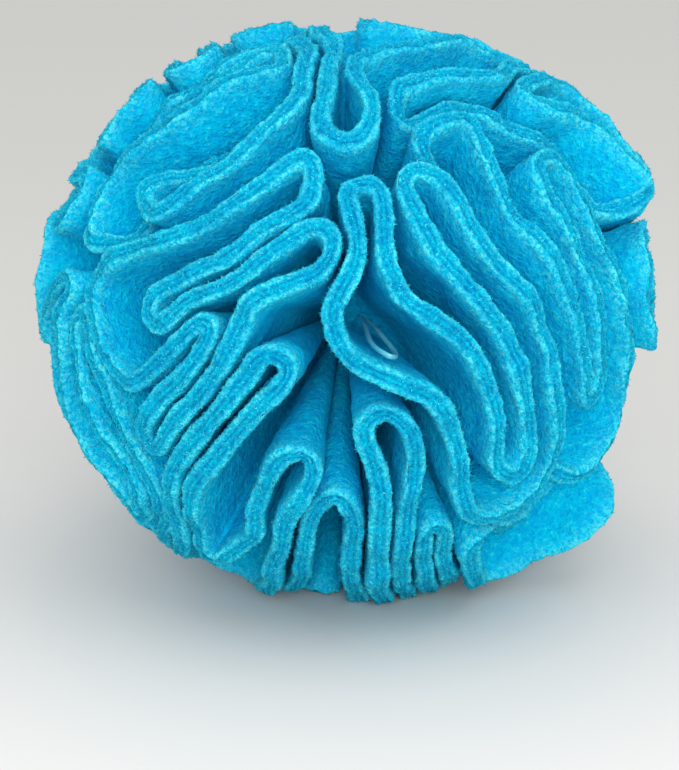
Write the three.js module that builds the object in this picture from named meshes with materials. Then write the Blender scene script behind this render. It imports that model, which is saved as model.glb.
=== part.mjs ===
// Fleece snuffle ball: circles of thick fleece, each folded to and fro, pierced at its middle and
// drawn together at one point, so that the folded cut edges make up the outside of a ball.
// Millimetres, +Z up, origin on the floor under the middle of the ball, front towards -Y.
import * as THREE from 'three';

// Sizes of the ball
const BALL_RADIUS = 61.5;
const CENTRE_HEIGHT = 58;
const CORE_RADIUS = 8;
const POCKET_FLOOR_RADIUS = 22;

// Sizes of the fleece
const CIRCLE_DIAMETER = 120;
const CUT_EDGE = 4;
const PIECE_GAP = 0.3;
const CLOSEST = 5.0;

// The front view that the fold rows are read in
const VIEW_TILT = 14;
const EYE_DISTANCE = 500;

// How the folds are laid and settled
const POINTS_PER_CIRCLE = 176;
const INNER_REACH = 0.42;
const SETTLE_STEPS = 420;
const HOLD = 0.3;
const LATE_HOLD = 0.05;
const LATE_SHARE = 0.75;
const SMOOTHING = 0.06;
const FREE_SMOOTHING = 0.16;
const MOST_GATHERED = 0.88;
const MOST_STRETCHED = 1.04;
const ROOMY = 9.5;
const ROOM_SHARE = 0.03;
const DRIFT = 0.4;
const EDGE_TOLERANCE = 0.4;
const LONGEST_STEP = 11;
const LONGEST_MITRE = 1.15;

// Sizes of the tie's loop
const TIE_THICK = 1.1;
const TIE_STEPS = 22;
const TIE_SIDES = 7;

const FLEECE_COLOUR = 0x0aa6dc;
const TIE_COLOUR = 0x7fd4f2;

// One row for each fold of the circles that show from the front. Each station is [across, up, past]:
// millimetres from the ball's middle in the front view, and millimetres past the outline along the
// surface. Lift is how far the cut edge stands out of the ball, or lies under it.
const FRONT_FOLDS = [
  { circle: 'upper_left', fold: 'rear edge', lift: -1,
    stations: [[-56, 14.5], [-50, 29.5], [-35, 41.8], [-20, 50.4], [-10.5, 54.6]] },
  { circle: 'upper_left', fold: 'back tuck', lift: -2, tip: -3,
    stations: [[-14, 56.3], [-21.5, 53.4], [-36.5, 44], [-49.5, 32.5]] },
  { circle: 'upper_left', fold: 'back edge', lift: -4, tip: -2,
    stations: [[-49, 36], [-38, 45.8], [-22, 55.6], [-10, 58.6]] },
  { circle: 'upper_left', fold: 'front edge', lift: 0,
    stations: [[-7.6, 50], [-11, 43], [-20, 36], [-30, 27.5], [-40, 20]] },
  { circle: 'upper_left', fold: 'front tuck', lift: -1, tip: -7,
    stations: [[-44, 24.2], [-38.5, 28.8], [-29, 32.5], [-20, 38.6]] },
  { circle: 'upper_left', fold: 'rear tuck', lift: -11, tip: -9,
    stations: [[-16.5, 45], [-29, 40], [-40, 33.5], [-48, 25], [-52.6, 17]] },

  { circle: 'left', fold: 'top edge', lift: 1,
    stations: [[-7, 32], [-14, 29.5], [-22, 22.7], [-33.6, 16], [-47, 11.6]] },
  { circle: 'left', fold: 'outer turn', lift: 0,
    stations: [[-53, 6.5], [-54, -2], [-51.5, -10], [-45.5, -15.3]] },
  { circle: 'left', fold: 'hook up', lift: 1, stations: [[-39.5, -13], [-35.5, -7], [-30.5, -3.2]] },
  { circle: 'left', fold: 'hook down', lift: 1,
    stations: [[-26.5, -6.5], [-29.5, -12.5], [-36, -18], [-42, -22.5]] },
  { circle: 'left', fold: 'middle edge', lift: 1,
    stations: [[-41.5, -30.5], [-35, -25.6], [-28, -16], [-23.6, -7]] },
  { circle: 'left', fold: 'inner turn', lift: 2,
    stations: [[-20, 1], [-12, 4.2], [-4.5, 8], [-1.8, 14.5]] },
  { circle: 'left', fold: 'inner edge', lift: 1,
    stations: [[-9, 18], [-15, 11.5], [-22, 6], [-30, 2.5], [-37, -2.5]] },
  { circle: 'left', fold: 'inner return', lift: 0,
    stations: [[-42, -3], [-39.5, 4], [-31, 7.5], [-22.5, 11.5], [-15, 19], [-8, 23]] },

  { circle: 'right', fold: 'front edge', lift: 1,
    stations: [[0.6, 26], [2.4, 11], [-3.4, -3], [2.4, -12.4], [18, -18.2]] },
  { circle: 'right', fold: 'front foot', lift: 0, stations: [[23.2, -25.6], [24, -35], [27.5, -44]] },
  { circle: 'right', fold: 'rear edge', lift: 0,
    stations: [[41.5, -38], [45.2, -25], [45.4, -12], [41, 1.7], [33.5, 8.5], [26, 17], [20.6, 29]] },
  { circle: 'right', fold: 'rear tuck', lift: 0,
    stations: [[12.6, 28.5], [16.8, 16], [27.5, 3.5], [36.6, -11.5], [39.2, -25], [37, -34.5]] },
  { circle: 'right', fold: 'front tuck', lift: 0,
    stations: [[32, -34.5], [32.6, -21.4], [26, -7.8], [12.6, 3.2], [8.2, 13], [8.2, 25]] },

  { circle: 'far_right', fold: 'arch', lift: 0, stations: [[16, 37.5], [20.5, 40.8], [26, 39.8]] },
  { circle: 'far_right', fold: 'front edge', lift: 0,
    stations: [[29.6, 35], [32, 28.5], [37.5, 18.5], [45.4, 3.8], [49.6, -9], [50.2, -20]] },
  { circle: 'far_right', fold: 'rear tuck', lift: -1,
    stations: [[54.3, -18], [55, -7], [52.8, 6], [46.2, 21], [40.3, 31]] },
  { circle: 'far_right', fold: 'rear edge', lift: 0,
    stations: [[45.6, 31.8], [51, 22], [55, 12.5], [59, 1], [60.2, -11], [57.8, -23.5], [49.5, -36]] },
  { circle: 'far_right', fold: 'low return', lift: -9,
    stations: [[46.6, -36], [48.6, -24], [47.8, -10], [43.6, 3], [35.5, 14], [27.6, 23]] },
  { circle: 'far_right', fold: 'arch, low leg', lift: -7, tip: -2, stations: [[22.8, 30.5], [17, 34]] },

  { circle: 'top', fold: 'front edge', lift: 0,
    stations: [[3.5, 52.8], [14, 55], [27, 55.2], [36, 52.6, 1], [42, 46, 9]] },
  { circle: 'top', fold: 'rear edge', lift: 3, tip: -2,
    stations: [[40, 46, 16], [28, 54, 13], [15, 59, 9], [5, 59, 8]] },
  { circle: 'top', fold: 'rear tuck', lift: 0,
    stations: [[5, 60, 14], [18, 58, 17], [32, 50, 21], [42, 42, 24]] },
  { circle: 'top', fold: 'far edge', lift: 1, tip: -3,
    stations: [[40, 42, 32], [24, 54, 27], [8, 60, 22], [-4, 60, 17], [-5.8, 58, 6]] },
  { circle: 'top', fold: 'drop, left leg', lift: -1, tip: 1,
    stations: [[-5, 54], [-5.4, 46.5], [-5.6, 40.5], [-3.2, 36]] },
  { circle: 'top', fold: 'drop, right leg', lift: 1,
    stations: [[1, 35], [4.8, 37.2], [6.2, 41.5], [4.4, 46], [1.6, 50]] },

  { circle: 'upper_right', fold: 'flap, rear edge', lift: 2, tip: 8,
    stations: [[37, 48.4], [43, 49], [52, 43.4, 2], [59, 35.2, 3], [64, 27, 5]] },
  { circle: 'upper_right', fold: 'rear return', lift: 2,
    stations: [[61, 18, 11], [58, 21, 16], [48, 38, 11], [41, 45.5, 4.5], [34, 49.3], [22, 48.8], [11.2, 44.6]] },
  { circle: 'upper_right', fold: 'front return', lift: -3,
    stations: [[12.6, 41.8], [24, 44.8], [33.6, 41.6], [43, 37.2], [50, 31.4], [55.5, 21.5]] },
  { circle: 'upper_right', fold: 'flap, front edge', lift: 8, tip: 2,
    stations: [[65, 24], [58, 33.5], [49.5, 41], [39.5, 44.5]] },

  { circle: 'lower_left', fold: 'front edge', lift: 1,
    stations: [[-18.4, -9], [-25, -17], [-32, -26.5], [-36.4, -36], [-38, -46]] },
  { circle: 'lower_left', fold: 'low return', lift: 0,
    stations: [[-32, -52, 9], [-24, -56, 10], [-18, -57, 7], [-14.4, -52], [-12.8, -45], [-7.6, -38.5]] },
  { circle: 'lower_left', fold: 'small tuck', lift: -1,
    stations: [[-8, -31.5], [-13.4, -31.5], [-18.5, -40], [-20.3, -50]] },
  { circle: 'lower_left', fold: 'front tuck', lift: 1,
    stations: [[-28.5, -53.5], [-33, -46], [-31.5, -36.5], [-24.5, -27], [-17.5, -20], [-11.5, -13.5]] },

  { circle: 'bottom_middle', fold: 'left leg', lift: 1,
    stations: [[3.2, -26], [6.6, -35], [8.4, -44], [8, -55], [7.5, -57, 16], [6, -57, 36]] },
  { circle: 'bottom_middle', fold: 'rear edge', lift: 0,
    stations: [[19, -53, 40], [21, -54, 26], [21, -54, 10], [21, -51], [19.8, -46.5]] },
  { circle: 'bottom_middle', fold: 'rear tuck', lift: 0,
    stations: [[16.4, -48], [16.6, -55, 4], [16.6, -55, 26]] },
  { circle: 'bottom_middle', fold: 'right leg', lift: 0,
    stations: [[11.8, -56, 26], [11.8, -56, 6], [12.8, -46], [14.8, -35], [14.2, -26.5], [9, -21.6]] },

  { circle: 'bottom_left', fold: 'arch, right leg', lift: -1,
    stations: [[-1.5, -40], [2.4, -46], [3, -54], [2.4, -57, 12], [1, -57, 43]] },
  { circle: 'bottom_left', fold: 'right tuck', lift: -1,
    stations: [[-4.2, -57, 43], [-3, -57, 14], [-3, -56, 4]] },
  { circle: 'bottom_left', fold: 'left tuck', lift: -1,
    stations: [[-7, -56, 6], [-8.6, -57, 18], [-9.6, -56, 43]] },
  { circle: 'bottom_left', fold: 'arch, left leg', lift: -2,
    stations: [[-14.6, -56, 42], [-13.6, -56, 15], [-10.6, -56, 4], [-8.2, -50], [-7, -43.5]] },

  { circle: 'bottom_right', fold: 'lobe edge', lift: 2, tip: 5,
    stations: [[25.6, -52], [26.5, -56, 3], [32, -54, 5], [38.5, -49.5, 8]] },
  { circle: 'bottom_right', fold: 'flap edge', lift: 9, stations: [[46.5, -46, 7], [54.5, -41, 9]] },
  { circle: 'bottom_right', fold: 'rear edge', lift: 2,
    stations: [[53, -33, 16], [43, -45, 16], [33, -53, 15], [27, -56, 16]] },
  { circle: 'bottom_right', fold: 'rear return', lift: 0,
    stations: [[27, -56, 22], [34, -52, 23], [44, -44, 24], [53, -33, 23], [61, -6, 21]] },
  { circle: 'bottom_right', fold: 'front return', lift: -6, tip: -3,
    stations: [[61, -3, 12], [56, -27, 5], [50, -37, 2.5], [40, -45.5, 1], [31, -49.2]] },

  { circle: 'lower_limb', fold: 'rear edge', lift: 1,
    stations: [[-58, 5.5], [-60.6, -4], [-60.4, -15], [-56, -28], [-49, -38], [-41, -46.5]] },
  { circle: 'lower_limb', fold: 'rear tuck', lift: 0,
    stations: [[-41, -41.6], [-48, -32.5], [-54, -21], [-57, -9], [-57.6, -1]] },
  { circle: 'lower_limb', fold: 'front edge', lift: -1,
    stations: [[-53.5, -5.5], [-52.8, -12.5], [-49, -23], [-44.5, -33], [-39.8, -42]] },
  { circle: 'lower_limb', fold: 'far edge', lift: 1,
    stations: [[-36, -50, 7], [-46, -42, 9], [-56, -28, 7], [-61, -14, 4], [-61, -2, 1]] },
];

// One row for each circle that is hidden from the front: the direction that its middle faces, the
// way its folds run, how long and how far apart they are, and how much they bow, spread and sway.
const REAR_CIRCLES = [
  { circle: 'left_rear', facing: 132, height: 5, turn: 176, folds: 4,
    length: 92, pitch: 5.8, bow: 0.1, spread: -0.25, sway: 2, lift: 4 },
  { circle: 'upper_left_rear', facing: 119, height: 40, turn: 24, folds: 4,
    length: 90, pitch: 6.2, bow: -0.1, spread: 0.35, sway: 3, lift: 1 },
  { circle: 'top_rear', facing: 142, height: 62, turn: 42, folds: 4,
    length: 86, pitch: 5.8, bow: 0.12, spread: 0.3, sway: -3, lift: 0 },
  { circle: 'right_rear', facing: 246, height: 2, turn: 6, folds: 4,
    length: 84, pitch: 6.2, bow: 0.05, spread: 0.35, sway: -3.5, lift: 3 },
  { circle: 'rear_middle', facing: 193, height: 22, turn: 78, folds: 6,
    length: 50, pitch: 5.6, bow: 0.1, spread: 0.2, sway: 2, lift: 0 },
  { circle: 'rear_lower', facing: 223, height: -24, turn: 190, folds: 4,
    length: 90, pitch: 6, bow: -0.12, spread: 0.35, sway: 3, lift: 0 },
  { circle: 'rear_low', facing: 175, height: -48, turn: 8, folds: 4,
    length: 92, pitch: 6, bow: -0.16, spread: 0.35, sway: -3, lift: 0 },
  { circle: 'rear_left', facing: 151, height: -25, turn: 10, folds: 4,
    length: 90, pitch: 6, bow: 0.08, spread: 0.25, sway: 3.5, lift: 0 },
];

// The loop of the tie that comes up in the front pocket, a row for each station: millimetres from the
// ball's middle in the front view, and how far it is from the core.
const TIE_STATIONS = [
  { part: 'left foot', across: 7.6, up: -4.4, radius: 23.5 },
  { part: 'left leg', across: 7.2, up: -6.6, radius: 38 },
  { part: 'left shoulder', across: 7.2, up: -9.6, radius: 52 },
  { part: 'top', across: 10, up: -11, radius: 57.5 },
  { part: 'right shoulder', across: 13, up: -12, radius: 52.5 },
  { part: 'right leg', across: 12, up: -8.6, radius: 38 },
  { part: 'right foot', across: 11.4, up: -5.6, radius: 23.5 },
];

const degrees = THREE.MathUtils.degToRad;
const core = new THREE.Vector3(0, 0, CENTRE_HEIGHT);
const toEye = new THREE.Vector3(0, -Math.cos(degrees(VIEW_TILT)), Math.sin(degrees(VIEW_TILT)));
const viewUp = new THREE.Vector3(0, Math.sin(degrees(VIEW_TILT)), Math.cos(degrees(VIEW_TILT)));
const viewAcross = new THREE.Vector3(1, 0, 0);

// The direction from the core to the place on the ball that shows at a point of the front view. A
// fold that stands out is placed where its edge shows, and one that lies deeper as if it didn't.
function seenFromFront(across, up, past = 0, lift = 0) {
  const radius = BALL_RADIUS + Math.max(lift, 0);
  const eye = toEye.clone().multiplyScalar(EYE_DISTANCE);
  const spot = viewAcross.clone().multiplyScalar(across).addScaledVector(viewUp, up);
  const ray = spot.clone().sub(eye).normalize();
  const middle = -eye.dot(ray);
  const nearest = eye.clone().addScaledVector(ray, middle);
  const reach = radius * radius - nearest.lengthSq();
  const inside = reach > 0 && past === 0;
  const direction = inside ? nearest.addScaledVector(ray, -Math.sqrt(reach)) : nearest;
  direction.normalize();
  if (past > 0) {
    const axis = toEye.clone().cross(direction).normalize();
    direction.applyAxisAngle(axis, past / BALL_RADIUS);
  }
  return direction;
}

// The stations of a circle folded in four or six, to and fro: the turns lie side by side at one end,
// and at the other end the turn that closes the edge goes round the rest.
function foldedToAndFro(row) {
  const facing = degrees(row.facing);
  const height = degrees(row.height);
  const middle = new THREE.Vector3(
    -Math.sin(facing) * Math.cos(height), -Math.cos(facing) * Math.cos(height), Math.sin(height),
  );
  const east = new THREE.Vector3(0, 0, 1).cross(middle).normalize();
  const north = middle.clone().cross(east);
  const along = east.applyAxisAngle(middle, degrees(row.turn));
  const aside = north.applyAxisAngle(middle, degrees(row.turn));
  const stations = [];
  for (let fold = 0; fold < row.folds; fold += 1) {
    const outermost = fold === 0 || fold === row.folds - 1;
    const start = row.length * (outermost ? -0.5 : -INNER_REACH);
    for (let step = 0; step <= 6; step += 1) {
      const share = fold % 2 === 0 ? step / 6 : 1 - step / 6;
      const x = start + share * (row.length / 2 - start);
      const fan = 1 + row.spread * (share - 0.5);
      const bend = row.bow * x * x / row.length * 2 + row.sway * Math.sin(2 * Math.PI * x / row.length);
      const y = (fold - (row.folds - 1) / 2) * row.pitch * fan + bend;
      const direction = middle.clone()
        .addScaledVector(along, x / BALL_RADIUS)
        .addScaledVector(aside, y / BALL_RADIUS)
        .normalize();
      stations.push({ direction, lift: row.lift, held: false });
    }
  }
  return stations;
}

function stationsByCircle() {
  const circles = new Map();
  for (const row of FRONT_FOLDS) {
    const stations = circles.get(row.circle) ?? [];
    row.stations.forEach(([across, up, past], index) => {
      const share = index / (row.stations.length - 1);
      const lift = THREE.MathUtils.lerp(row.lift, row.tip ?? row.lift, share);
      stations.push({ direction: seenFromFront(across, up, past, lift), lift, held: true });
    });
    circles.set(row.circle, stations);
  }
  for (const row of REAR_CIRCLES) {
    circles.set(row.circle, foldedToAndFro(row));
  }
  return circles;
}

// Evenly spaced points along the smooth closed line through a circle's stations.
function pointsAlong(name, stations) {
  const line = new THREE.CatmullRomCurve3(
    stations.map((station) => station.direction.clone().multiplyScalar(BALL_RADIUS)),
    true,
    'centripetal',
  );
  line.arcLengthDivisions = 1200;
  const stops = stations.map((_, index) => lengthShare(line, index / stations.length));
  const step = Math.min(line.getLength(), Math.PI * CIRCLE_DIAMETER) / POINTS_PER_CIRCLE;
  const points = [];
  for (let index = 0; index < POINTS_PER_CIRCLE; index += 1) {
    const share = index / POINTS_PER_CIRCLE;
    const place = line.getPointAt(share).setLength(BALL_RADIUS);
    const before = lastStop(stops, share);
    const after = (before + 1) % stations.length;
    const span = (after === 0 ? 1 : stops[after]) - stops[before];
    const part = THREE.MathUtils.smoothstep((share - stops[before]) / span, 0, 1);
    const lift = THREE.MathUtils.lerp(stations[before].lift, stations[after].lift, part);
    const home = stations[before].held ? place.clone() : null;
    points.push({ name, index, place, home, lift, step });
  }
  return points;
}

function lengthShare(line, share) {
  const lengths = line.getLengths();
  const at = share * (lengths.length - 1);
  const low = Math.floor(at);
  const high = Math.min(low + 1, lengths.length - 1);
  return THREE.MathUtils.lerp(lengths[low], lengths[high], at - low) / lengths[lengths.length - 1];
}

function lastStop(stops, share) {
  let found = 0;
  for (let index = 0; index < stops.length; index += 1) {
    if (stops[index] <= share + 1e-9) {
      found = index;
    }
  }
  return found;
}

// How far apart two points must be: less for two that are near each other along one edge.
function leastGap(a, b) {
  if (a.name !== b.name) {
    return CLOSEST;
  }
  const steps = Math.abs(a.index - b.index);
  const apart = Math.min(steps, POINTS_PER_CIRCLE - steps);
  if (apart < 2) {
    return 0;
  }
  const angle = Math.min(apart * a.step / CLOSEST, Math.PI / 2);
  return CLOSEST * Math.sin(angle);
}

function nearPairs(points, reach) {
  const boxes = new Map();
  const pairs = [];
  points.forEach((point, order) => {
    const [x, y, z] = point.place.toArray().map((value) => Math.floor(value / reach));
    for (let dx = -1; dx <= 1; dx += 1) {
      for (let dy = -1; dy <= 1; dy += 1) {
        for (let dz = -1; dz <= 1; dz += 1) {
          for (const other of boxes.get(`${x + dx},${y + dy},${z + dz}`) ?? []) {
            pairs.push([points[other], point]);
          }
        }
      }
    }
    const key = `${x},${y},${z}`;
    boxes.set(key, [...(boxes.get(key) ?? []), order]);
  });
  return pairs;
}

// Two points that are too near are moved apart, and two that are only crowded drift apart a little.
function moveApart(a, b, least) {
  const offset = b.place.clone().sub(a.place);
  const length = offset.length();
  if (length > ROOMY || length < 1e-6) {
    return;
  }
  if (length < least) {
    const move = Math.min((least - length) / 2, DRIFT);
    a.place.addScaledVector(offset, -move / length);
    b.place.addScaledVector(offset, move / length);
  } else if (least === CLOSEST) {
    const move = (ROOMY - length) / 2 * ROOM_SHARE;
    a.place.addScaledVector(offset, a.home ? 0 : -move / length);
    b.place.addScaledVector(offset, b.home ? 0 : move / length);
  }
}

function keepStep(a, b, step) {
  const offset = b.place.clone().sub(a.place);
  const length = offset.length();
  const wanted = THREE.MathUtils.clamp(length, step * MOST_GATHERED, step * MOST_STRETCHED);
  const share = 0.5 * (length - wanted) / length;
  a.place.addScaledVector(offset, share);
  b.place.addScaledVector(offset, -share);
}

// Lets the folded edges push each other apart over the ball, each keeping its length, while those
// that show from the front are held near their places.
function settle(edges) {
  const points = edges.flatMap((edge) => edge);
  let pairs = [];
  for (let round = 0; round < SETTLE_STEPS; round += 1) {
    if (round % 8 === 0) {
      pairs = nearPairs(points, ROOMY);
    }
    const hold = round > SETTLE_STEPS * LATE_SHARE ? LATE_HOLD : HOLD;
    for (const edge of edges) {
      edge.forEach((point, index) => {
        const next = edge[(index + 1) % edge.length];
        const last = edge[(index + edge.length - 1) % edge.length];
        keepStep(point, next, point.step);
        const between = last.place.clone().add(next.place).multiplyScalar(0.5);
        point.place.lerp(between, point.home ? SMOOTHING : FREE_SMOOTHING);
        if (point.home) {
          point.place.lerp(point.home, hold);
        }
      });
    }
    for (const [a, b] of pairs) {
      moveApart(a, b, leastGap(a, b));
    }
    for (const point of points) {
      point.place.setLength(BALL_RADIUS);
    }
  }
}

// The fewest points that keep a settled edge's shape within the tolerance.
function thinned(edge) {
  const far = edge.reduce((best, point, index) => (
    point.place.distanceTo(edge[0].place) > edge[best].place.distanceTo(edge[0].place) ? index : best
  ), 0);
  const kept = new Set([0, far]);
  const split = (from, to) => {
    const start = edge[from].place;
    const end = edge[to % edge.length].place;
    const chord = new THREE.Line3(start, end);
    let worst = 0;
    let most = EDGE_TOLERANCE;
    for (let index = from + 1; index < to; index += 1) {
      const foot = chord.closestPointToPoint(edge[index].place, true, new THREE.Vector3());
      const off = foot.distanceTo(edge[index].place) - sagOfBall(start, end, foot);
      if (off > most) {
        most = off;
        worst = index;
      }
    }
    if (worst === 0 && start.distanceTo(end) > LONGEST_STEP && to - from > 1) {
      worst = Math.round((from + to) / 2);
    }
    if (worst > 0) {
      kept.add(worst);
      split(from, worst);
      split(worst, to);
    }
  };
  split(0, far);
  split(far, edge.length);
  return [...kept].sort((a, b) => a - b).map((index) => edge[index]);
}

// How far the straight line between two points of the ball lies under its surface.
function sagOfBall(start, end, foot) {
  return Math.min(BALL_RADIUS - foot.length(), start.distanceTo(end) ** 2 / (8 * BALL_RADIUS));
}

// Sections of the cloth along its edge: the direction, the way across the cloth and the lift.
function sections(edge) {
  return edge.map((point, index) => {
    const last = edge[(index + edge.length - 1) % edge.length].place;
    const next = edge[(index + 1) % edge.length].place;
    const direction = point.place.clone().normalize();
    const before = point.place.clone().sub(last).projectOnPlane(direction).normalize();
    const after = next.clone().sub(point.place).projectOnPlane(direction).normalize();
    const forward = before.clone().add(after).normalize();
    const across = direction.clone().cross(forward).normalize();
    const corner = Math.min(1 / Math.max(forward.dot(after), 0.2), LONGEST_MITRE);
    return { direction, across, corner, lift: point.lift };
  });
}

// A closed line on the ball laid flat, as it is seen along its middle direction.
function flatLine(parts, middle) {
  const east = new THREE.Vector3(0.31, 0.17, 0.93).cross(middle).normalize();
  const north = middle.clone().cross(east);
  return parts.map(({ direction }) => {
    const depth = direction.dot(middle);
    return new THREE.Vector2(direction.dot(east) / depth, direction.dot(north) / depth);
  });
}

// A place in the cloth: side +1 is inside the cup that the circle makes, and -1 outside it.
function clothPoint(part, side, radius) {
  const half = (CUT_EDGE + PIECE_GAP) / 2 * radius / BALL_RADIUS - PIECE_GAP / 2;
  return core.clone()
    .addScaledVector(part.direction, radius)
    .addScaledVector(part.across, side * part.corner * half);
}

// The place where the cloth ends, which for the lowest folds is where it meets the floor.
function rimPoint(part, side) {
  const radius = BALL_RADIUS + part.lift;
  const rim = clothPoint(part, side, radius);
  if (rim.z >= 0) {
    return rim;
  }
  const low = clothPoint(part, side, POCKET_FLOOR_RADIUS);
  return rim.lerp(low, -rim.z / (low.z - rim.z)).setZ(0);
}

// One circle of fleece as a closed solid: both faces of the cloth, its cut edge, the floor of the
// pocket that it makes and its underside next to the core.
function clothSolid(edge) {
  let parts = sections(edge);
  const middle = parts.reduce((sum, part) => sum.add(part.direction), new THREE.Vector3()).normalize();
  if (THREE.ShapeUtils.area(flatLine(parts, middle)) < 0) {
    parts = sections([...edge].reverse());
  }
  const inner = parts.map((part) => ({ direction: clothPoint(part, 1, POCKET_FLOOR_RADIUS).sub(core) }));
  const outer = parts.map((part) => ({ direction: clothPoint(part, -1, CORE_RADIUS).sub(core) }));
  const count = parts.length;
  const vertices = [
    ...parts.map((part) => rimPoint(part, 1)),
    ...parts.map((part) => rimPoint(part, -1)),
    ...parts.map((part) => clothPoint(part, 1, POCKET_FLOOR_RADIUS)),
    ...parts.map((part) => clothPoint(part, -1, CORE_RADIUS)),
  ];
  const faces = [];
  for (let index = 0; index < count; index += 1) {
    const next = (index + 1) % count;
    addPanel(faces, [index, next], [count + index, count + next]);
    addPanel(faces, [2 * count + index, 2 * count + next], [index, next]);
    addPanel(faces, [count + index, count + next], [3 * count + index, 3 * count + next]);
  }
  for (const [a, b, c] of THREE.ShapeUtils.triangulateShape(flatLine(inner, middle), [])) {
    faces.push(2 * count + a, 2 * count + b, 2 * count + c);
  }
  for (const [a, b, c] of THREE.ShapeUtils.triangulateShape(flatLine(outer, middle), [])) {
    faces.push(3 * count + a, 3 * count + c, 3 * count + b);
  }
  const geometry = new THREE.BufferGeometry().setFromPoints(vertices);
  geometry.setIndex(faces);
  geometry.computeVertexNormals();
  return geometry;
}

function addPanel(faces, [a, b], [c, d]) {
  faces.push(a, c, d, a, d, b);
}

// The tie's loop: a round nylon strand along a smooth line through its stations.
function tieLoop() {
  const line = new THREE.CatmullRomCurve3(TIE_STATIONS.map(({ across, up, radius }) => (
    seenFromFront(across, up).multiplyScalar(radius).add(core)
  )), false, 'centripetal');
  const round = new THREE.EllipseCurve(0, 0, TIE_THICK / 2, TIE_THICK / 2);
  const section = new THREE.Shape(round.getPoints(TIE_SIDES).slice(1));
  return new THREE.ExtrudeGeometry(section, { extrudePath: line, steps: TIE_STEPS, bevelEnabled: false });
}

const ball = new THREE.Group();
const edges = [...stationsByCircle()].map(([name, stations]) => pointsAlong(name, stations));
settle(edges);
for (const edge of edges) {
  const cloth = new THREE.MeshStandardMaterial({ color: FLEECE_COLOUR, roughness: 0.95, metalness: 0 });
  const mesh = new THREE.Mesh(clothSolid(thinned(edge)), cloth);
  mesh.name = `fleece_${edge[0].name}`;
  ball.add(mesh);
}

const nylon = new THREE.MeshStandardMaterial({ color: TIE_COLOUR, roughness: 0.25, metalness: 0 });
const tie = new THREE.Mesh(tieLoop(), nylon);
tie.name = 'tie_loop';
ball.add(tie);

export default ball;
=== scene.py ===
import math
import bmesh
import bpy
import numpy as np
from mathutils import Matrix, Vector, geometry, noise


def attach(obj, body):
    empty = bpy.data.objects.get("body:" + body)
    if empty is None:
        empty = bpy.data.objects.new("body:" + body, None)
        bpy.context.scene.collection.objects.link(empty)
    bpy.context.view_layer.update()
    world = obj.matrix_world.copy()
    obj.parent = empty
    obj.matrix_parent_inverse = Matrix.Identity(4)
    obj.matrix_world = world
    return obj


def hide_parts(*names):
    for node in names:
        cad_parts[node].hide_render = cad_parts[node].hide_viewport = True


# The looks of a fleece snuffle ball: circles of thick napped fleece, folded and drawn together at
# one point, with a clear nylon tie. Metres, +Z up, front towards -Y.

# Sizes of the ball, as its solids have them
CENTRE_HEIGHT = 0.058
BALL_RADIUS = 0.0615
POCKET_FLOOR = 0.022
CORE_RADIUS = 0.008
CUT_EDGE = 0.004
PIECE_GAP = 0.0003

# A solid's corners past the first reach are on its cut edge, and the others past the second one
# are on its pocket's floor
RIM_REACH = POCKET_FLOOR * 1.2
FLOOR_REACH = CORE_RADIUS * 1.5

# The cloth's section
CLOTH_FLOOR = 0.018
NECK_RADIUS = 0.003
THINNEST_HALF = 0.00004
CORNER_RADIUS = 0.0009
EDGE_INSET = CORNER_RADIUS * 0.3
GROOVE_DEPTH = 0.0004
GROOVE_PLACE = 0.32
GROOVE_WIDTH = 0.3
EDGE_FADE = 0.0009
# The rim share, the painted highlight's mask: how deep it fades under the cut edge and where across
# it it starts
RIM_FADE = 0.0023
RIM_START = 0.4

# How fine the cloth is made
COLUMN_STEP = 0.00092
CURVE_STEPS = 8
SMOOTH_COLUMNS = 1.3
SMOOTH_REACH = 4
DEPTHS_MM = (14.5, 12.9, 11.4, 10.0, 8.7, 7.5, 6.4, 5.4, 4.4, 3.5, 2.7, 1.95, 1.3, 0.75, 0.3, 0.08)
DEEP_SHARES = (0.0, 0.3, 0.6, 0.82)
EDGE_SHARES = (0.76, 0.53, 0.32, 0.0, -0.32, -0.53, -0.76)
NECK_ROWS = (0.012, NECK_RADIUS)
SMALLEST_NORMAL = 1e-12
WELD_DISTANCE = 1e-6
ASIDE = (0.31, 0.17, 0.93)

# How uneven the cloth is
NOISE_SEED = 5
CIRCLE_SEED = (7.3, 3.1, 5.7)
SWAY_SIZE = 0.011
SWAY = 0.0011
RISE_SIZE = 0.007
RISE = 0.0011
SLIM_SIZE = 0.006
SLIM = 0.15
SLIM_MIDDLE = 0.2
LUMP_SIZE = 0.0032
LUMP = 0.00036
PEBBLE_SIZE = 0.0014
PEBBLE = 0.00022
RAGGED = 0.00026

# The nap that stands out of the cloth near its cut edge
TUFT_SEED = 7
TUFTS_PER_CIRCLE = 4800
TUFT_LENGTHS = (0.00025, 0.00075)
TUFT_RADIUS = 0.00026 / 1.7
TUFT_SPREAD = 0.7
TUFT_RISE = 0.3
TUFT_SINK = 0.00008
NAP_DEPTH = 0.0028
CUT_EDGE_BARE = 0.7

# Grain of the cloth's colour
PEBBLE_GRAIN = 0.0013
PATCH_GRAIN = 0.007
GLINT_GRAIN = 0.00055
CLUMP_GRAIN = 0.0008
FIBRE_GRAIN = 0.0008
HAZE_GRAIN = 0.004

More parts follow.
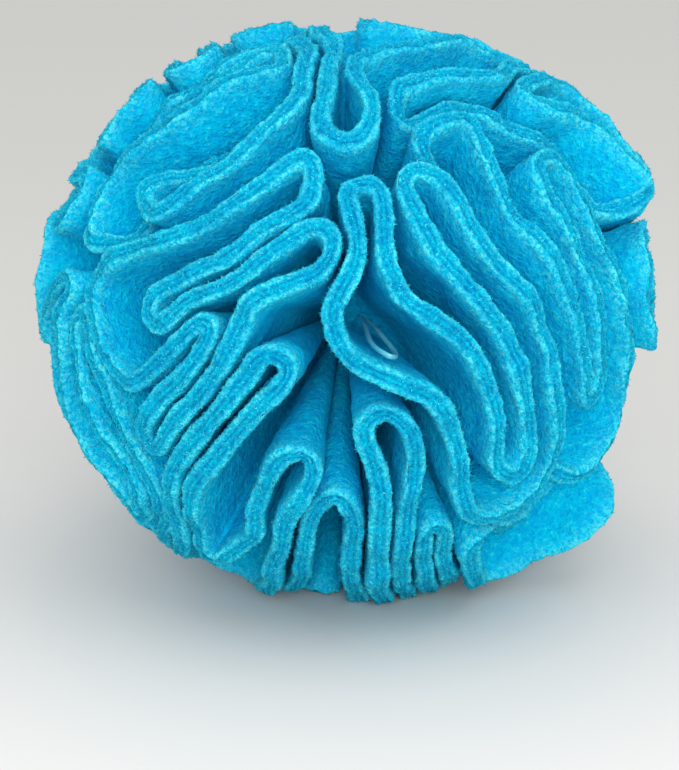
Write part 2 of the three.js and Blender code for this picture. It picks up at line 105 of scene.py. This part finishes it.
# Colours: a ramp's rows are a noise value and the colour there
NAP_BLUES = (
    (0.38, (0.0, 0.48, 0.85)), (0.5, (0.0, 0.6, 0.89)),
    (0.6, (0.0, 0.69, 0.91)), (0.7, (0.06, 0.82, 0.94)),
)
CUT_BLUES = (
    (0.38, (0.0, 0.38, 0.62)), (0.5, (0.0, 0.51, 0.73)),
    (0.6, (0.0, 0.62, 0.8)), (0.7, (0.06, 0.78, 0.89)),
)
FIBRE_BLUES = ((0.38, (0.0, 0.49, 0.8)), (0.5, (0.0, 0.62, 0.86)), (0.62, (0.1, 0.82, 0.92)))
PATCH_TINTS = ((0.36, (0.7, 0.84, 0.93)), (0.62, (1.0, 1.0, 1.0)))
# Where the clumps' noise puts the painted highlight on the rims
HIGHLIGHT_SHARES = ((0.46, (0.0, 0.0, 0.0)), (0.58, (1.4, 1.4, 1.4)))
NYLON_TINTS = ((0.3, (0.16, 0.82, 0.95)), (0.7, (0.4, 0.95, 1.0)))
FLOOR_TINTS = (
    (0.0, (0.85, 0.825, 0.79)), (0.35, (0.67, 0.655, 0.62)), (1.0, (0.63, 0.615, 0.58)),
)
# Painted shade in the cut edge's grooves
GROOVE_SHADE_BLUE = (0.0, 0.28, 0.55, 1)
# Painted highlight: the pale fringe on the cut edge's borders
PAINTED_HIGHLIGHT_BLUE = (0.13, 0.87, 0.93, 1)
SHEEN_BLUE = (0.1, 0.88, 1.0, 1)
AIR_COLOUR = (0.96, 0.98, 1.0, 1)

# The view of the photograph
FRAME_HEIGHT_PX = 770
BALL_PX_RIGHT_OF_MIDDLE = 5.5
BALL_PX_ABOVE_MIDDLE = 77
METRES_PER_PX = 0.00021
VIEW_DISTANCE = 0.5
VIEW_TILT = 14
SENSOR = 36
NEAREST = 0.01

# The stage: each lamp's name, place, size and power, then the floor and the air
LAMPS = (
    ("above", (0.15, -0.3, 0.95), 0.9, 1.6),
    ("front", (0.1, -1.6, 0.58), 0.8, 12.4),
)
FLOOR_SIZE = 8
FLOOR_PALE_UP_TO = -0.1
FLOOR_GREY_FROM = 0.45
AIR_STRENGTH = 0.9

# noise_vector starts from the time of day unless it has a seed
noise.seed_set(NOISE_SEED)
core = Vector((0, 0, CENTRE_HEIGHT))
centre = np.array(core)
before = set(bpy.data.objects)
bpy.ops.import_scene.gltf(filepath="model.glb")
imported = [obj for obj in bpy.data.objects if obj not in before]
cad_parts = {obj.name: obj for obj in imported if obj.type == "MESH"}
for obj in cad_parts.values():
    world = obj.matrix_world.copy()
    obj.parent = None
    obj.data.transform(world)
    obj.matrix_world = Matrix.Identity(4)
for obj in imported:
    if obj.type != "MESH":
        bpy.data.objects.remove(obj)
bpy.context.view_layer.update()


def add_camera():
    """The camera at the photograph's angle, with the ball where the photograph has it."""
    tilt = math.radians(VIEW_TILT)
    back = Vector((0, -math.cos(tilt), math.sin(tilt)))
    up = Vector((0, math.sin(tilt), math.cos(tilt)))
    aim = core - up * BALL_PX_ABOVE_MIDDLE * METRES_PER_PX
    aim.x -= BALL_PX_RIGHT_OF_MIDDLE * METRES_PER_PX
    data = bpy.data.cameras.new("camera")
    data.sensor_width = SENSOR
    data.lens = VIEW_DISTANCE / METRES_PER_PX * SENSOR / FRAME_HEIGHT_PX
    data.clip_start = NEAREST
    camera = bpy.data.objects.new("camera", data)
    camera.location = core + back * VIEW_DISTANCE
    camera.rotation_mode = "QUATERNION"
    camera.rotation_quaternion = (aim - camera.location).to_track_quat("-Z", "Y")
    bpy.context.scene.collection.objects.link(camera)
    bpy.context.scene.camera = camera


# Materials

def new_material(name):
    """A material, its node tree, its shader, and the place on the surface for its textures."""
    material = bpy.data.materials.new(name)
    material.use_nodes = True
    tree = material.node_tree
    place = tree.nodes.new("ShaderNodeNewGeometry").outputs["Position"]
    return material, tree, tree.nodes["Principled BSDF"], place


def set_inputs(node, values):
    for name, value in values.items():
        node.inputs[name].default_value = value


def feed(tree, socket, value):
    """Links a socket to another one, or sets it to a plain value."""
    if isinstance(value, bpy.types.NodeSocket):
        tree.links.new(value, socket)
    else:
        socket.default_value = value


def grain(tree, place, size, detail, roughness):
    """A noise of about that size on the surface."""
    texture = tree.nodes.new("ShaderNodeTexNoise")
    set_inputs(texture, {"Scale": 1 / size, "Detail": detail, "Roughness": roughness})
    tree.links.new(place, texture.inputs["Vector"])
    return texture.outputs["Fac"]


def ramped(tree, value, stops):
    """The colour that a ramp gives to a value."""
    ramp = tree.nodes.new("ShaderNodeValToRGB")
    elements = ramp.color_ramp.elements
    while len(elements) < len(stops):
        elements.new(0.5)
    for element, (place, colour) in zip(elements, stops):
        element.position = place
        element.color = (*colour, 1)
    tree.links.new(value, ramp.inputs["Fac"])
    return ramp.outputs["Color"]


def mixed(tree, share, first, second, blend="MIX"):
    mix = tree.nodes.new("ShaderNodeMix")
    mix.data_type = "RGBA"
    mix.blend_type = blend
    feed(tree, mix.inputs["Factor"], share)
    feed(tree, mix.inputs["A"], first)
    feed(tree, mix.inputs["B"], second)
    return mix.outputs["Result"]


def calculated(tree, operation, *values):
    node = tree.nodes.new("ShaderNodeMath")
    node.operation = operation
    for socket, value in zip(node.inputs, values):
        feed(tree, socket, value)
    return node.outputs[0]


def fleece_colour(tree, place, pebbles, glints):
    """Curled pile on the faces, a grooved cut edge with painted shade in its grooves, and a pale
    fringe of painted highlight where they meet.
    """
    zone = tree.nodes.new("ShaderNodeVertexColor")
    zone.layer_name = "zone"
    zones = tree.nodes.new("ShaderNodeSeparateColor")
    tree.links.new(zone.outputs["Color"], zones.inputs["Color"])
    # The second share marks where the painted highlight goes, the third where the painted shade
    # goes
    edge, rim, groove_shade = zones.outputs
    patches = grain(tree, place, PATCH_GRAIN, 2, 0.55)
    clumps = grain(tree, place, CLUMP_GRAIN, 3, 0.7)

    woolly = calculated(tree, "MULTIPLY_ADD", glints, 0.5, -0.15)
    woolly = calculated(tree, "MULTIPLY_ADD", pebbles, 0.8, woolly)
    ragged = calculated(tree, "MULTIPLY_ADD", glints, 0.5, -0.25)
    edge_share = calculated(tree, "ADD", edge, ragged)
    colour = mixed(
        tree, edge_share, ramped(tree, woolly, NAP_BLUES), ramped(tree, glints, CUT_BLUES),
    )

    # Painted shade: the grooves beside each pile are darkened, broken up by the pebbles
    broken = calculated(tree, "MULTIPLY_ADD", pebbles, 4.5, -1.5)
    groove = calculated(tree, "MULTIPLY", groove_shade, broken)
    colour = mixed(tree, groove, colour, GROOVE_SHADE_BLUE)

    # A pale fringe of painted highlight on the cut edge's borders, broken up by clumps and patches
    painted_highlight = calculated(tree, "MULTIPLY", rim, ramped(tree, clumps, HIGHLIGHT_SHARES))
    painted_highlight = calculated(tree, "MULTIPLY", painted_highlight, patches)
    colour = mixed(tree, painted_highlight, colour, PAINTED_HIGHLIGHT_BLUE)
    return mixed(tree, 1.0, colour, ramped(tree, patches, PATCH_TINTS), "MULTIPLY")


def fleece_material():
    """Napped fleece, matt, with a faint sheen and a pebbled pile."""
    material, tree, shader, place = new_material("fleece")
    pebbles = grain(tree, place, PEBBLE_GRAIN, 3, 0.6)
    glints = grain(tree, place, GLINT_GRAIN, 2, 0.7)
    tree.links.new(fleece_colour(tree, place, pebbles, glints), shader.inputs["Base Color"])
    set_inputs(shader, {
        "Roughness": 0.9,
        "Specular IOR Level": 0.05,
        "Sheen Weight": 0.08,
        "Sheen Roughness": 0.5,
        "Sheen Tint": SHEEN_BLUE,
    })
    heights = calculated(tree, "MULTIPLY_ADD", pebbles, 2.0, glints)
    bump = tree.nodes.new("ShaderNodeBump")
    set_inputs(bump, {"Strength": 0.75, "Distance": 0.0007})
    tree.links.new(heights, bump.inputs["Height"])
    tree.links.new(bump.outputs["Normal"], shader.inputs["Normal"])
    return material


def nap_material():
    """The loose fibres: the fleece's blue, paler where the noise is high."""
    material, tree, shader, place = new_material("nap")
    shade = grain(tree, place, FIBRE_GRAIN, 2, 0.6)
    tree.links.new(ramped(tree, shade, FIBRE_BLUES), shader.inputs["Base Color"])
    set_inputs(shader, {"Roughness": 0.85, "Specular IOR Level": 0.1})
    return material


def nylon_material():
    """Clear pale-blue nylon."""
    material, tree, shader, place = new_material("nylon")
    haze = grain(tree, place, HAZE_GRAIN, 2, 0.5)
    tree.links.new(ramped(tree, haze, NYLON_TINTS), shader.inputs["Base Color"])
    set_inputs(shader, {
        "Roughness": 0.12,
        "Transmission Weight": 0.3,
        "IOR": 1.5,
        "Coat Weight": 0.5,
    })
    return material


# Reading the folds from the solids

def unit(vectors):
    return vectors / np.linalg.norm(vectors, axis=-1, keepdims=True)


def welded(node):
    """A copy of a solid's mesh with each corner kept once."""
    mesh = bmesh.new()
    mesh.from_mesh(node.data)
    bmesh.ops.remove_doubles(mesh, verts=mesh.verts, dist=WELD_DISTANCE)
    mesh.verts.index_update()
    return mesh


def ordered(ring):
    """The corners of a closed line in order: ring maps each corner to its two neighbours in it."""
    start = min(ring)
    line = [start]
    last = start
    here = min(ring[start])
    while here != start:
        line.append(here)
        following = [other for other in ring[here] if other != last]
        last = here
        here = following[0]
    return line


def rim_of(node):
    """The two borders of a circle's cut edge, in order and side by side, as rows of x, y, z."""
    mesh = welded(node)
    reach = {vertex.index: (vertex.co - core).length for vertex in mesh.verts}
    near = {v.index: {e.other_vert(v).index for e in v.link_edges} for v in mesh.verts}
    place = {vertex.index: np.array(vertex.co) for vertex in mesh.verts}
    mesh.free()
    at_rim = {index for index, far in reach.items() if far > RIM_REACH}
    inside = set()
    for index in at_rim:
        if any(reach[other] > FLOOR_REACH for other in near[index] - at_rim):
            inside.add(index)
    outside = at_rim - inside
    line = ordered({index: near[index] & inside for index in inside})
    shared = []
    for here, following in zip(line, line[1:] + line[:1]):
        shared.append((near[here] & near[following] & outside).pop())
    inner = np.array([place[index] for index in line])
    outer = np.array([place[index] for index in shared])
    later = np.roll(outer, 1, axis=0)
    if np.linalg.norm(later - inner, axis=1).sum() < np.linalg.norm(outer - inner, axis=1).sum():
        outer = later
    return inner, outer


def between(first, second, start, end, at):
    return first + (second - first) * ((at - start) / (end - start))[:, None]


def smooth_loop(points):
    """Evenly spaced points on a smooth closed line through the given ones."""
    corners = [np.roll(points, shift, axis=0) for shift in (1, 0, -1, -2)]
    stops = [np.zeros(len(points))]
    for a, b in zip(corners, corners[1:]):
        stops.append(stops[-1] + np.sqrt(np.linalg.norm((b - a)[:, :3], axis=1)))
    dense = []
    for step in range(CURVE_STEPS):
        at = stops[1] + (stops[2] - stops[1]) * step / CURVE_STEPS
        once = [between(corners[k], corners[k + 1], stops[k], stops[k + 1], at) for k in range(3)]
        twice = [between(once[k], once[k + 1], stops[k], stops[k + 2], at) for k in range(2)]
        dense.append(between(*twice, stops[1], stops[2], at))
    dense = np.stack(dense, axis=1).reshape(-1, points.shape[1])
    closed = np.vstack([dense, dense[:1]])
    steps = np.linalg.norm(np.diff(closed[:, :3], axis=0), axis=1)
    lengths = np.concatenate([[0], np.cumsum(steps)])
    count = int(round(lengths[-1] / COLUMN_STEP))
    wanted = np.arange(count) * lengths[-1] / count
    even = np.stack([np.interp(wanted, lengths, column) for column in closed.T], axis=1)
    return softened(even)


def softened(line):
    """A closed line with its small corners rounded off."""
    spread = np.arange(-SMOOTH_REACH, SMOOTH_REACH + 1)
    weights = np.exp(-0.5 * (spread / SMOOTH_COLUMNS) ** 2)
    weights /= weights.sum()
    return sum(weight * np.roll(line, shift, axis=0) for weight, shift in zip(weights, spread))


def edge_line(node):
    """The middle of a circle's cut edge: for each column its direction from the core, its
    distance, and the direction across the cloth, towards the inside of the pocket."""
    inner, outer = rim_of(node)
    mid = (inner + outer) / 2 - centre
    radius = np.linalg.norm(mid, axis=1, keepdims=True)
    line = smooth_loop(np.hstack([mid / radius * BALL_RADIUS, radius]))
    direction = unit(line[:, :3])
    rim = line[:, 3]
    forward = np.roll(direction, -1, axis=0) - np.roll(direction, 1, axis=0)
    across = unit(np.cross(direction, forward))
    steps = direction[:, None] - (mid / radius)[None]
    nearest = np.argmin(np.linalg.norm(steps, axis=2), axis=1)
    if (across * (inner - outer)[nearest]).sum() < 0:
        return direction[::-1], rim[::-1], -across[::-1]
    return direction, rim, across


# The cloth

def half_thickness(radius):
    """Half the cloth's thickness at a distance from the core, where the folds press together."""
    half = (CUT_EDGE + PIECE_GAP) / 2 * radius / BALL_RADIUS - PIECE_GAP / 2
    return np.maximum(half, THINNEST_HALF)


def groove_at(share):
    """How much of a groove there is at a place across the cut edge: one beside each pile."""
    return max(0.0, 1 - ((abs(share) - GROOVE_PLACE) / GROOVE_WIDTH) ** 2)


def zone_at(depth, share):
    """Shares of cut edge, rim (painted highlight) and groove (painted shade) at a depth under the
    cut edge and a place across it.
    """
    edge = max(0.0, 1 - depth / EDGE_FADE)
    rim = math.exp(-(depth / RIM_FADE) ** 2) * max(0.0, (abs(share) - RIM_START) / (1 - RIM_START))
    return (edge, rim, edge * groove_at(share))


def wall_rows(rim):
    """Rows of a face of the cloth, from the pocket's floor to the cut edge: distance from the
    core, how much the corner is rounded off, and depth under the cut edge."""
    depths = [depth / 1000 for depth in DEPTHS_MM]
    walls = []
    for share in DEEP_SHARES:
        walls.append((CLOTH_FLOOR + (rim - depths[0] - CLOTH_FLOOR) * share, 0.0, depths[0]))
    for depth in depths:
        rounding = 0.0
        if depth < CORNER_RADIUS:
            rounding = CORNER_RADIUS - math.sqrt(CORNER_RADIUS ** 2 - (CORNER_RADIUS - depth) ** 2)
        walls.append((rim - depth, rounding, depth))
    return walls


def section_rows(rim, fullness):
    """The rows of the cloth's section for each column: distance from the core, place across the
    cloth, and the zone's share of cut edge, rim (painted highlight) and groove (painted shade)."""
    walls = wall_rows(rim)
    rows = []
    for radius, rounding, depth in walls:
        rows.append((radius, half_thickness(radius) * fullness - rounding, zone_at(depth, 1)))
    for share in EDGE_SHARES:
        groove = GROOVE_DEPTH * groove_at(share)
        across = share * (half_thickness(rim) * fullness - EDGE_INSET)
        rows.append((rim - groove, across, zone_at(0, share)))
    for radius, rounding, depth in reversed(walls):
        rows.append((radius, rounding - half_thickness(radius) * fullness, zone_at(depth, 1)))
    for reach in NECK_ROWS:
        radius = np.full_like(rim, reach)
        rows.append((radius, -half_thickness(radius), zone_at(1, 1)))
    return rows


def grid_normals(grid):
    """The outward direction at each point of a grid of rows and columns, closed along its rows."""
    along = np.roll(grid, -1, axis=1) - np.roll(grid, 1, axis=1)
    over = np.gradient(grid, axis=0)
    normals = np.cross(over, along)
    lengths = np.linalg.norm(normals, axis=2, keepdims=True)
    return normals / np.maximum(lengths, SMALLEST_NORMAL)


def edge_waves(direction, seed):
    """How far the cut edge rises and falls, and how full the cloth is, for each column."""
    rises = []
    fullness = []
    for place in direction * BALL_RADIUS:
        place = Vector(place)
        rises.append(RISE * noise.noise(place / RISE_SIZE + seed))
        fullness.append(1 - SLIM * (SLIM_MIDDLE + noise.noise(place / SLIM_SIZE - seed)))
    return np.array(rises), np.minimum(fullness, 1.0)


def swayed(points):
    """Points moved by a slow drift that all the cloth shares, so that layers stay apart."""
    moved = points.copy()
    for index, point in enumerate(points):
        place = Vector(point)
        share = min(1.0, (place - core).length / BALL_RADIUS) ** 3
        moved[index] += np.array(noise.noise_vector(place / SWAY_SIZE)) * SWAY * share
    return moved


def roughened(points, normals, edges):
    """Points moved in and out along their normals by lumps, pebbles and a ragged cut edge."""
    moved = points.copy()
    for index, (point, normal, edge) in enumerate(zip(points, normals, edges)):
        place = Vector(point)
        height = LUMP * noise.noise(place / LUMP_SIZE)
        height += (PEBBLE + RAGGED * edge) * noise.noise(place / PEBBLE_SIZE)
        moved[index] += normal * height
    return moved


def cloth_grid(node, seed):
    """The rows and columns of a circle's cloth, its normals and its zones."""
    direction, rim, across = edge_line(node)
    rises, fullness = edge_waves(direction, seed)
    rows = section_rows(rim + rises, fullness)
    grid = np.stack([
        centre + direction * far[:, None] + across * side[:, None] for far, side, _ in rows
    ])
    zones = np.array([zone for _, _, zone in rows])
    grid = swayed(grid.reshape(-1, 3)).reshape(grid.shape)
    normals = grid_normals(grid)
    edges = np.repeat(zones[:, 0], len(rim))
    grid = roughened(grid.reshape(-1, 3), normals.reshape(-1, 3), edges).reshape(grid.shape)
    grid[:, :, 2] = np.maximum(grid[:, :, 2], 0.0)
    return grid, normals, zones


# Meshes

def flat_ring(directions):
    """A ring of directions laid flat as seen along its middle one."""
    middle = unit(directions.sum(axis=0))
    east = unit(np.cross(np.array(ASIDE), middle))
    north = np.cross(middle, east)
    depth = directions @ middle
    flat = zip(directions @ east / depth, directions @ north / depth)
    return [Vector((a, b, 0)) for a, b in flat]


def floor_faces(ring):
    """Triangles that close the grid's first row, the pocket's floor, seen from outside the ball."""
    flat = flat_ring(unit(ring - centre))
    faces = []
    for a, b, c in geometry.tessellate_polygon([flat]):
        turn = (flat[b] - flat[a]).cross(flat[c] - flat[a]).z
        faces.append((a, b, c) if turn > 0 else (a, c, b))
    return faces


def neck_faces(last, count):
    """Triangles from the grid's last row, whose first corner is given, to the point at the core."""
    return [(last + column, last + count, last + (column + 1) % count) for column in range(count)]


def grid_faces(rows, count):
    faces = []
    for row in range(rows - 1):
        here = row * count
        above = here + count
        for column in range(count):
            after = (column + 1) % count
            faces.append((here + column, above + column, above + after, here + after))
    return faces


def add_mesh(name, mesh, material):
    """A smooth-shaded object with that mesh and material."""
    mesh.materials.clear()
    mesh.materials.append(material)
    mesh.polygons.foreach_set("use_smooth", [True] * len(mesh.polygons))
    mesh.update()
    piece = bpy.data.objects.new(name, mesh)
    bpy.context.scene.collection.objects.link(piece)
    return piece


def mesh_object(name, points, faces, material):
    mesh = bpy.data.meshes.new(name)
    mesh.from_pydata(points.tolist(), [], faces)
    return add_mesh(name, mesh, material)


def paint_zones(piece, zones, count):
    """Keeps each row's shares of cut edge, rim (painted highlight) and groove (painted shade) as
    the piece's vertex colours.
    """
    layer = piece.data.color_attributes.new("zone", "FLOAT_COLOR", "POINT")
    shares = np.zeros((len(piece.data.vertices), 4), np.float32)
    shares[:, 3] = 1
    shares[:len(zones) * count, :3] = np.repeat(zones, count, axis=0)
    layer.data.foreach_set("color", shares.ravel())


def add_circle(node, seed, material):
    """One circle of fleece on its solid's folds."""
    grid, normals, zones = cloth_grid(node, seed)
    rows, count = grid.shape[:2]
    faces = grid_faces(rows, count) + floor_faces(grid[0]) + neck_faces((rows - 1) * count, count)
    points = np.vstack([grid.reshape(-1, 3), core])
    piece = mesh_object(node.name.replace("fleece", "circle"), points, faces, material)
    paint_zones(piece, zones, count)
    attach(piece, "root")
    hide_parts(node.name)
    return piece, grid, normals, zones


def tuft_roots(grid, zones, rng):
    """Where the tufts stand: each one's row and column in the grid, and its place."""
    count = grid.shape[1]
    down = grid[1:] - grid[:-1]
    onwards = np.roll(grid, -1, axis=1)[:-1] - grid[:-1]
    area = np.linalg.norm(np.cross(down, onwards), axis=2)
    radius = np.linalg.norm(grid - centre, axis=2)
    depth = radius.max(axis=0) - radius
    bare = CUT_EDGE_BARE * zones[:-1, :1]
    weight = area * np.exp(-(depth[:-1] / NAP_DEPTH) ** 2) * (1 - bare)
    chosen = rng.choice(weight.size, TUFTS_PER_CIRCLE, p=weight.ravel() / weight.sum())
    row, column = np.divmod(chosen, count)
    after = (column + 1) % count
    u, v = rng.random((2, TUFTS_PER_CIRCLE, 1))
    root = (grid[row, column] * (1 - u) + grid[row, after] * u) * (1 - v)
    root += (grid[row + 1, column] * (1 - u) + grid[row + 1, after] * u) * v
    return row, column, root


def tuft_points(root, normal, rng):
    """Four corners for each tuft: a small triangle just under the cloth, and a tip."""
    lean = normal + rng.normal(0, TUFT_SPREAD, normal.shape)
    lean += normal * np.maximum(0, TUFT_RISE - (lean * normal).sum(axis=1, keepdims=True))
    lean = unit(lean)
    length = rng.uniform(*TUFT_LENGTHS, (TUFTS_PER_CIRCLE, 1))
    side = unit(np.cross(lean, rng.normal(0, 1, lean.shape)))
    other = np.cross(lean, side)
    base = root - normal * TUFT_SINK
    corners = []
    for third in range(3):
        turn = third * 2 * math.pi / 3
        corners.append(base + TUFT_RADIUS * (math.cos(turn) * side + math.sin(turn) * other))
    points = np.stack([*corners, root + lean * length], axis=1).reshape(-1, 3)
    points[:, 2] = np.maximum(points[:, 2], 0.0)
    return points


def add_nap(name, grid, normals, zones, rng, material):
    """Fine tufts that stand out of the cloth's cut edge and the faces next to it."""
    row, column, root = tuft_roots(grid, zones, rng)
    normal = normals[row, column]
    points = tuft_points(root, normal, rng)
    faces = []
    for tuft in range(TUFTS_PER_CIRCLE):
        a, b, c, tip = range(4 * tuft, 4 * tuft + 4)
        faces += [(a, b, tip), (b, c, tip), (c, a, tip), (c, b, a)]
    piece = mesh_object(name, points, faces, material)
    piece.data.normals_split_custom_set_from_vertices(np.repeat(normal, 4, axis=0).tolist())
    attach(piece, "root")
    return piece


def add_tie(material):
    """The loop of the nylon tie, rounder than its solid."""
    strand = welded(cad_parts["tie_loop"])
    mesh = bpy.data.meshes.new("tie")
    strand.to_mesh(mesh)
    strand.free()
    piece = add_mesh("tie", mesh, material)
    piece.modifiers.new("round", "SUBSURF").render_levels = 2
    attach(piece, "root")
    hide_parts("tie_loop")


# The stage

def add_floor():
    """A pale floor that is greyer towards the back."""
    bpy.ops.mesh.primitive_plane_add(size=FLOOR_SIZE)
    floor = bpy.context.object
    floor.name = "floor"
    material, tree, shader, place = new_material("floor")
    split = tree.nodes.new("ShaderNodeSeparateXYZ")
    tree.links.new(place, split.inputs["Vector"])
    back = tree.nodes.new("ShaderNodeMapRange")
    set_inputs(back, {"From Min": FLOOR_PALE_UP_TO, "From Max": FLOOR_GREY_FROM})
    tree.links.new(split.outputs["Y"], back.inputs["Value"])
    tint = ramped(tree, back.outputs["Result"], FLOOR_TINTS)
    tree.links.new(tint, shader.inputs["Base Color"])
    set_inputs(shader, {"Roughness": 0.6, "Specular IOR Level": 0.2})
    floor.data.materials.append(material)


def add_lamp(name, place, size, power):
    """A round lamp that faces the middle of the ball."""
    data = bpy.data.lights.new(name, "AREA")
    data.shape = "DISK"
    data.size = size
    data.energy = power
    light = bpy.data.objects.new(name, data)
    light.location = place
    light.rotation_mode = "QUATERNION"
    light.rotation_quaternion = (core - Vector(place)).to_track_quat("-Z", "Y")
    bpy.context.scene.collection.objects.link(light)


def add_air():
    """Even light from all round, and colours shown as they are."""
    world = bpy.data.worlds.new("air")
    world.use_nodes = True
    background = world.node_tree.nodes["Background"]
    set_inputs(background, {"Color": AIR_COLOUR, "Strength": AIR_STRENGTH})
    bpy.context.scene.world = world
    bpy.context.scene.view_settings.view_transform = "Standard"


add_camera()
fleece = fleece_material()
nap = nap_material()
rng = np.random.default_rng(TUFT_SEED)
fleece_nodes = sorted(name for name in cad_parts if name.startswith("fleece_"))
for order, node_name in enumerate(fleece_nodes):
    seed = Vector(CIRCLE_SEED) * order
    circle, cloth, outwards, shares = add_circle(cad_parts[node_name], seed, fleece)
    tufts = add_nap(node_name.replace("fleece", "nap"), cloth, outwards, shares, rng, nap)
add_tie(nylon_material())
add_floor()
for lamp in LAMPS:
    add_lamp(*lamp)
add_air()
